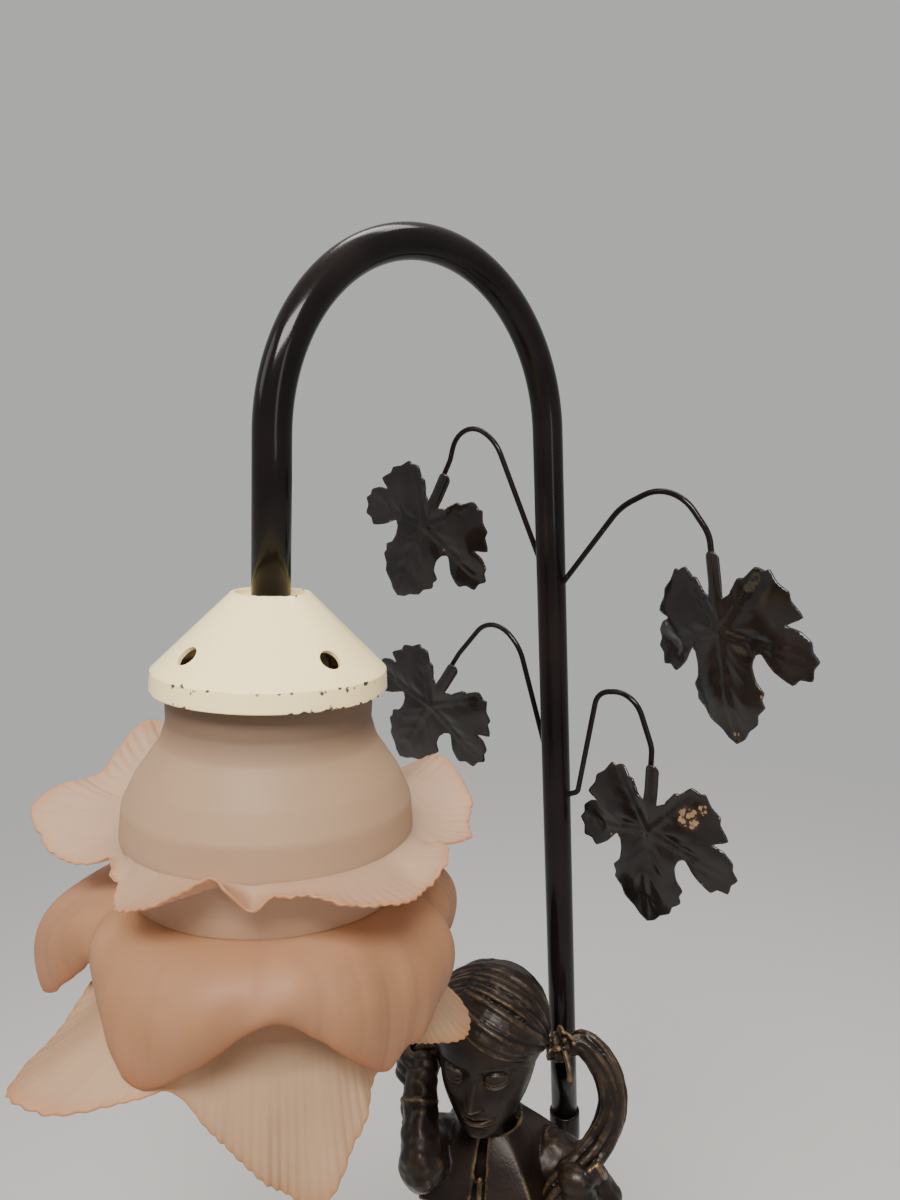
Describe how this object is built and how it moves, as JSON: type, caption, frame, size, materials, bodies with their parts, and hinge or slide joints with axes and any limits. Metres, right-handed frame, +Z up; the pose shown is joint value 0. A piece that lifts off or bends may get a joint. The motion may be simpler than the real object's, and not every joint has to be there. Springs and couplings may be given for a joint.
{
  "type": "figural table lamp",
  "caption": "Table lamp: a cast girl on a round base, a black tube that arches over her with metal vine leaves, and a hanging frosted glass flower shade.",
  "frame": {"origin": "centre of the face that the lamp rests on, on the table", "axes": "+Z up, -Y the front that the arch and the shade lean to, +X the right side seen from the front"},
  "size_m": [0.2372, 0.2835, 0.7868],
  "materials": {
    "black_enamel": "satin",
    "cream_enamel": "gloss",
    "frosted_glass": "satin",
    "clear_glass": "gloss",
    "bronze_cast": "satin",
    "spring_steel": "satin",
    "zinc_steel": "satin",
    "brass": "satin",
    "holder_plastic": "gloss",
    "lead_sheath": "matte",
    "iron_weight": "matte",
    "felt": "matte"
  },
  "bodies": {
    "lamp": {"arch_tube": "black_enamel", "pole_ferrule": "black_enamel", "lower_pole": "black_enamel", "leaf_upper_left": "black_enamel", "leaf_lower_left": "black_enamel", "leaf_upper_right": "black_enamel", "leaf_lower_right": "black_enamel", "stem_upper_left": "black_enamel", "stem_lower_left": "black_enamel", "stem_upper_right": "black_enamel", "stem_lower_right": "black_enamel", "shade_cap": "cream_enamel", "arm_nipple": "zinc_steel", "spring_spider": "spring_steel", "nipple_nut": "zinc_steel", "holder_dome": "holder_plastic", "holder_body": "holder_plastic", "holder_thread": "brass", "holder_contact": "brass", "glass_shade": "frosted_glass", "inner_lead": "lead_sheath", "base_plinth": "bronze_cast", "ballast_disc": "iron_weight", "base_cover": "zinc_steel", "cord_bush": "holder_plastic", "foot_nipple": "zinc_steel", "pole_washer": "zinc_steel", "pole_nut": "zinc_steel", "figure_bolt": "zinc_steel", "bolt_washer": "zinc_steel", "girl_figure": "bronze_cast", "cover_screws": "zinc_steel", "felt_pad": "felt"},
    "bulb": {"bulb_cap": "brass", "bulb_glass": "clear_glass"}
  },
  "joints": [
    {"name": "bulb_screw", "type": "hinge", "parent": "lamp", "child": "bulb", "pos_m": [0, -0.1052, 0.6088], "axis": [0, 0.1149, 0.9934], "range_deg": [-990, 0]}
  ]
}
